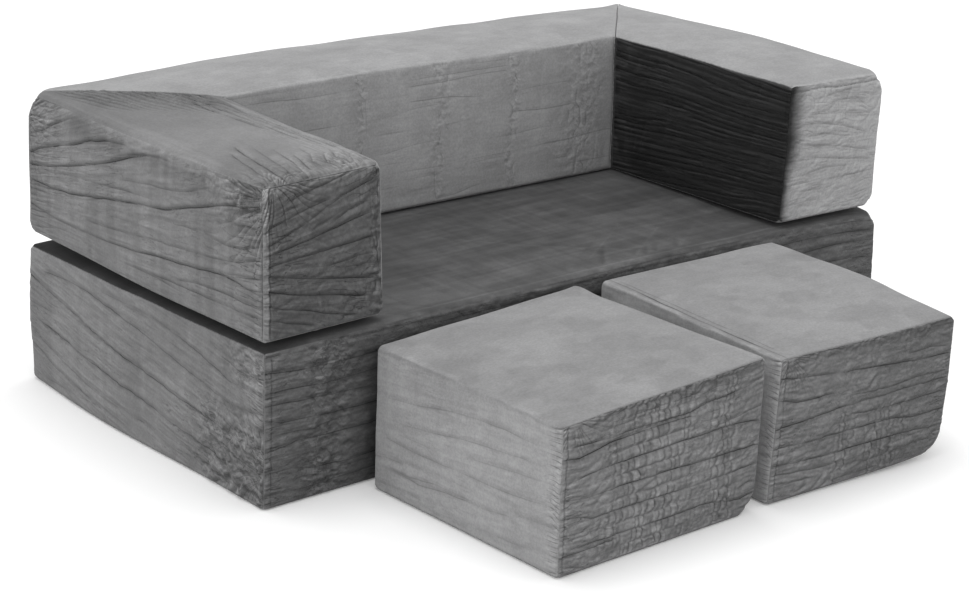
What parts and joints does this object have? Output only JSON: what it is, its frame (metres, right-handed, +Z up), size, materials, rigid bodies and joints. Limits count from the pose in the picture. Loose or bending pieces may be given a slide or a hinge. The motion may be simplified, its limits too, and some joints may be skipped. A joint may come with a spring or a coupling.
{
  "type": "modular foam play sofa",
  "caption": "Velvet-covered foam play sofa: a long seat block, a mitred U-shaped back and arms that fold out flat, and a pair of square ottoman blocks.",
  "frame": {"origin": "on the floor, at the centre of the seat block's underside", "axes": "+X to the right as seen from the front, along the sofa's width; +Y to the back; +Z up"},
  "size_m": [1.2054, 1.061, 0.4653],
  "materials": {
    "velvet": "matte",
    "foam": "matte",
    "zip_tape": "matte",
    "slider_metal": "satin",
    "hinge_seam": "matte"
  },
  "bodies": {
    "seat": {"seat_cover": "velvet", "seat_foam": "foam", "seat_zip": "zip_tape"},
    "backrest": {"back_cover": "velvet", "back_foam": "foam", "back_zip": "zip_tape", "left_hinge_seam": "hinge_seam", "right_hinge_seam": "hinge_seam"},
    "left_arm": {"left_arm_cover": "velvet", "left_arm_foam": "foam", "left_arm_zip": "zip_tape"},
    "right_arm": {"right_arm_cover": "velvet", "right_arm_foam": "foam", "right_arm_zip": "zip_tape"},
    "left_ottoman": {"left_ottoman_cover": "velvet", "left_ottoman_foam": "foam", "left_ottoman_zip": "zip_tape"},
    "right_ottoman": {"right_ottoman_cover": "velvet", "right_ottoman_foam": "foam", "right_ottoman_zip": "zip_tape"},
    "seat_zip_slider": {"seat_zip_slider": "slider_metal"},
    "back_zip_slider": {"back_zip_slider": "slider_metal"},
    "left_arm_zip_slider": {"left_arm_zip_slider": "slider_metal"},
    "right_arm_zip_slider": {"right_arm_zip_slider": "slider_metal"},
    "left_ottoman_zip_slider": {"left_ottoman_zip_slider": "slider_metal"},
    "right_ottoman_zip_slider": {"right_ottoman_zip_slider": "slider_metal"}
  },
  "joints": [
    {"name": "backrest_lift", "type": "slide", "parent": "seat", "child": "backrest", "axis": [0, 0, 1], "range_m": [0, 0.3]},
    {"name": "left_arm_fold", "type": "hinge", "parent": "backrest", "child": "left_arm", "pos_m": [-0.6, 0.32, 0.345], "axis": [0, 0, -1], "range_deg": [0, 90]},
    {"name": "right_arm_fold", "type": "hinge", "parent": "backrest", "child": "right_arm", "pos_m": [0.6, 0.32, 0.345], "axis": [0, 0, 1], "range_deg": [0, 90]},
    {"name": "left_ottoman_slide", "type": "slide", "parent": "seat", "child": "left_ottoman", "axis": [0.0157, -0.9999, 0], "range_m": [-0.015, 0.4]},
    {"name": "right_ottoman_slide", "type": "slide", "parent": "seat", "child": "right_ottoman", "axis": [-0.0227, -0.9997, 0], "range_m": [-0.015, 0.4]},
    {"name": "seat_zip_run", "type": "slide", "parent": "seat", "child": "seat_zip_slider", "axis": [1, 0, 0], "range_m": [0, 0.879]},
    {"name": "back_zip_run", "type": "slide", "parent": "backrest", "child": "back_zip_slider", "axis": [1, 0, 0], "range_m": [0, 0.679]},
    {"name": "left_arm_zip_run", "type": "slide", "parent": "left_arm", "child": "left_arm_zip_slider", "axis": [0, -1, 0], "range_m": [0, 0.339]},
    {"name": "right_arm_zip_run", "type": "slide", "parent": "right_arm", "child": "right_arm_zip_slider", "axis": [0, -1, 0], "range_m": [0, 0.339]},
    {"name": "left_ottoman_zip_run", "type": "slide", "parent": "left_ottoman", "child": "left_ottoman_zip_slider", "axis": [0.9999, 0.0157, 0], "range_m": [0, 0.26]},
    {"name": "right_ottoman_zip_run", "type": "slide", "parent": "right_ottoman", "child": "right_ottoman_zip_slider", "axis": [0.9997, -0.0227, 0], "range_m": [0, 0.26]}
  ]
}
